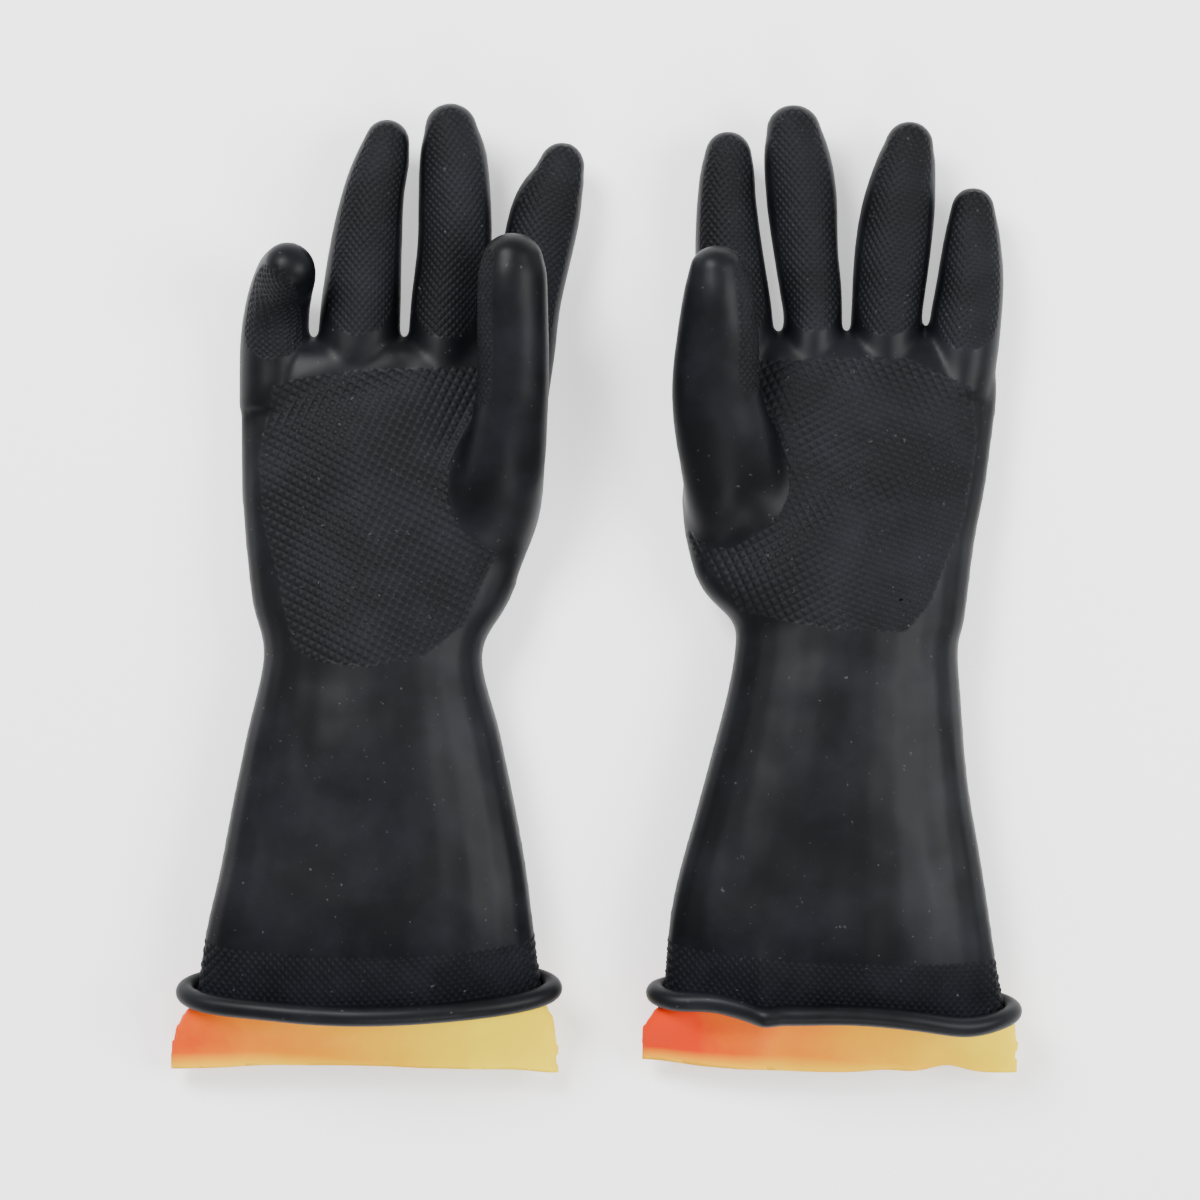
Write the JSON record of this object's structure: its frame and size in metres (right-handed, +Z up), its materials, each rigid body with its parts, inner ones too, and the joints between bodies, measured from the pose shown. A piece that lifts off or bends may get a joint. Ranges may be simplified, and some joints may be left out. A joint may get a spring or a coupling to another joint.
{
  "type": "electrical insulating gloves",
  "caption": "Pair of long two-ply rubber electrical insulating gloves, black over orange, with gripping palms and rolled cuff beads, lying palms up.",
  "frame": {"origin": "on the surface that the gloves lie on, under the middle of the pair", "axes": "+Z up out of the palms, +Y from the cuffs to the fingertips, +X from the right glove to the left glove"},
  "size_m": [0.312, 0.3614, 0.0658],
  "materials": {
    "outer_rubber": "satin",
    "bead_rubber": "satin",
    "inner_rubber": "satin"
  },
  "bodies": {
    "right_cuff": {"right_cuff": "outer_rubber", "right_cuff_lining": "inner_rubber", "right_rolled_bead": "bead_rubber"},
    "right_hand": {"right_hand": "outer_rubber", "right_hand_lining": "inner_rubber"},
    "right_index_base": {"right_index_base": "outer_rubber", "right_index_base_lining": "inner_rubber"},
    "right_index_tip": {"right_index_tip": "outer_rubber", "right_index_tip_lining": "inner_rubber"},
    "right_middle_base": {"right_middle_base": "outer_rubber", "right_middle_base_lining": "inner_rubber"},
    "right_middle_tip": {"right_middle_tip": "outer_rubber", "right_middle_tip_lining": "inner_rubber"},
    "right_ring_base": {"right_ring_base": "outer_rubber", "right_ring_base_lining": "inner_rubber"},
    "right_ring_tip": {"right_ring_tip": "outer_rubber", "right_ring_tip_lining": "inner_rubber"},
    "right_little_base": {"right_little_base": "outer_rubber", "right_little_base_lining": "inner_rubber"},
    "right_little_tip": {"right_little_tip": "outer_rubber", "right_little_tip_lining": "inner_rubber"},
    "right_thumb_base": {"right_thumb_base": "outer_rubber", "right_thumb_base_lining": "inner_rubber"},
    "right_thumb_tip": {"right_thumb_tip": "outer_rubber", "right_thumb_tip_lining": "inner_rubber"},
    "left_cuff": {"left_cuff": "outer_rubber", "left_cuff_lining": "inner_rubber", "left_rolled_bead": "bead_rubber"},
    "left_hand": {"left_hand": "outer_rubber", "left_hand_lining": "inner_rubber"},
    "left_index_base": {"left_index_base": "outer_rubber", "left_index_base_lining": "inner_rubber"},
    "left_index_tip": {"left_index_tip": "outer_rubber", "left_index_tip_lining": "inner_rubber"},
    "left_middle_base": {"left_middle_base": "outer_rubber", "left_middle_base_lining": "inner_rubber"},
    "left_middle_tip": {"left_middle_tip": "outer_rubber", "left_middle_tip_lining": "inner_rubber"},
    "left_ring_base": {"left_ring_base": "outer_rubber", "left_ring_base_lining": "inner_rubber"},
    "left_ring_tip": {"left_ring_tip": "outer_rubber", "left_ring_tip_lining": "inner_rubber"},
    "left_little_base": {"left_little_base": "outer_rubber", "left_little_base_lining": "inner_rubber"},
    "left_little_tip": {"left_little_tip": "outer_rubber", "left_little_tip_lining": "inner_rubber"},
    "left_thumb_base": {"left_thumb_base": "outer_rubber", "left_thumb_base_lining": "inner_rubber"},
    "left_thumb_tip": {"left_thumb_tip": "outer_rubber", "left_thumb_tip_lining": "inner_rubber"}
  },
  "joints": [
    {"name": "right_wrist_bend", "type": "hinge", "parent": "right_cuff", "child": "right_hand", "pos_m": [-0.08417, -0.02647, 0.022], "axis": [0.9962, -0.0872, 0], "range_deg": [-30, 45], "stiffness_Nm_per_rad": 1.5},
    {"name": "right_index_root_bend", "type": "hinge", "parent": "right_hand", "child": "right_index_base", "pos_m": [-0.02916, 0.10323, 0.016], "axis": [0.9703, -0.2419, 0], "range_deg": [-20, 14], "stiffness_Nm_per_rad": 0.3},
    {"name": "right_index_middle_bend", "type": "hinge", "parent": "right_index_base", "child": "right_index_tip", "pos_m": [-0.02215, 0.13136, 0.016], "axis": [0.9703, -0.2419, 0], "range_deg": [-10, 70], "stiffness_Nm_per_rad": 0.3},
    {"name": "right_middle_root_bend", "type": "hinge", "parent": "right_hand", "child": "right_middle_base", "pos_m": [-0.05688, 0.10766, 0.016], "axis": [0.9998, 0.0175, 0], "range_deg": [-23, 11], "stiffness_Nm_per_rad": 0.3},
    {"name": "right_middle_middle_bend", "type": "hinge", "parent": "right_middle_base", "child": "right_middle_tip", "pos_m": [-0.05747, 0.14161, 0.01778], "axis": [0.9998, 0.0175, 0], "range_deg": [-10, 70], "stiffness_Nm_per_rad": 0.3},
    {"name": "right_ring_root_bend", "type": "hinge", "parent": "right_hand", "child": "right_ring_base", "pos_m": [-0.0874, 0.10882, 0.016], "axis": [0.9898, -0.1426, 0], "range_deg": [-23, 67], "stiffness_Nm_per_rad": 0.3},
    {"name": "right_ring_middle_bend", "type": "hinge", "parent": "right_ring_base", "child": "right_ring_tip", "pos_m": [-0.08284, 0.14045, 0.01767], "axis": [0.9898, -0.1426, 0], "range_deg": [-10, 70], "stiffness_Nm_per_rad": 0.3},
    {"name": "right_little_root_bend", "type": "hinge", "parent": "right_hand", "child": "right_little_base", "pos_m": [-0.11779, 0.09994, 0.016], "axis": [0.9962, -0.0872, 0], "range_deg": [-62, 28], "stiffness_Nm_per_rad": 0.3},
    {"name": "right_little_middle_bend", "type": "hinge", "parent": "right_little_base", "child": "right_little_tip", "pos_m": [-0.11643, 0.11548, 0.03005], "axis": [0.9962, -0.0872, 0], "range_deg": [-31, 49], "stiffness_Nm_per_rad": 0.3},
    {"name": "right_thumb_root_bend", "type": "hinge", "parent": "right_hand", "child": "right_thumb_base", "pos_m": [-0.03104, 0.06177, 0.04463], "axis": [0.0084, 0.2418, -0.9703], "range_deg": [-40, 35], "stiffness_Nm_per_rad": 0.3},
    {"name": "right_thumb_middle_bend", "type": "hinge", "parent": "right_thumb_base", "child": "right_thumb_tip", "pos_m": [-0.02993, 0.09377, 0.05261], "axis": [-0.0036, -0.1045, 0.9945], "range_deg": [-5, 60], "stiffness_Nm_per_rad": 0.3},
    {"name": "left_wrist_bend", "type": "hinge", "parent": "left_cuff", "child": "left_hand", "pos_m": [0.09193, -0.02587, 0.022], "axis": [1, 0, 0], "range_deg": [-30, 45], "stiffness_Nm_per_rad": 1.5},
    {"name": "left_index_root_bend", "type": "hinge", "parent": "left_hand", "child": "left_index_base", "pos_m": [0.04843, 0.10813, 0.016], "axis": [0.9996, 0.0279, 0], "range_deg": [-22, 12], "stiffness_Nm_per_rad": 0.3},
    {"name": "left_index_middle_bend", "type": "hinge", "parent": "left_index_base", "child": "left_index_tip", "pos_m": [0.04762, 0.1371, 0.01701], "axis": [0.9996, 0.0279, 0], "range_deg": [-9, 71], "stiffness_Nm_per_rad": 0.3},
    {"name": "left_middle_root_bend", "type": "hinge", "parent": "left_hand", "child": "left_middle_base", "pos_m": [0.07643, 0.11013, 0.016], "axis": [0.9982, 0.0593, 0], "range_deg": [-23, 67], "stiffness_Nm_per_rad": 0.3},
    {"name": "left_middle_middle_bend", "type": "hinge", "parent": "left_middle_base", "child": "left_middle_tip", "pos_m": [0.07441, 0.14402, 0.01778], "axis": [0.9982, 0.0593, 0], "range_deg": [-10, 70], "stiffness_Nm_per_rad": 0.3},
    {"name": "left_ring_root_bend", "type": "hinge", "parent": "left_hand", "child": "left_ring_base", "pos_m": [0.10693, 0.10863, 0.016], "axis": [0.9928, -0.1201, 0], "range_deg": [-23, 67], "stiffness_Nm_per_rad": 0.3},
    {"name": "left_ring_middle_bend", "type": "hinge", "parent": "left_ring_base", "child": "left_ring_tip", "pos_m": [0.11076, 0.14035, 0.01767], "axis": [0.9928, -0.1201, 0], "range_deg": [-10, 70], "stiffness_Nm_per_rad": 0.3},
    {"name": "left_little_root_bend", "type": "hinge", "parent": "left_hand", "child": "left_little_base", "pos_m": [0.13643, 0.10313, 0.016], "axis": [0.9988, -0.0489, 0], "range_deg": [-22, 68], "stiffness_Nm_per_rad": 0.3},
    {"name": "left_little_middle_bend", "type": "hinge", "parent": "left_little_base", "child": "left_little_tip", "pos_m": [0.13745, 0.12409, 0.01673], "axis": [0.9988, -0.0489, 0], "range_deg": [-9, 71], "stiffness_Nm_per_rad": 0.3},
    {"name": "left_thumb_root_bend", "type": "hinge", "parent": "left_hand", "child": "left_thumb_base", "pos_m": [0.04593, 0.06662, 0.04488], "axis": [0, -0.2588, 0.9659], "range_deg": [-40, 35], "stiffness_Nm_per_rad": 0.3},
    {"name": "left_thumb_middle_bend", "type": "hinge", "parent": "left_thumb_base", "child": "left_thumb_tip", "pos_m": [0.04593, 0.09849, 0.05342], "axis": [0, 0.1219, -0.9925], "range_deg": [-5, 60], "stiffness_Nm_per_rad": 0.3},
    {"name": "left_glove_lift", "type": "slide", "parent": "right_cuff", "child": "left_cuff", "axis": [0, 0, 1], "range_m": [0, 0.3]}
  ]
}
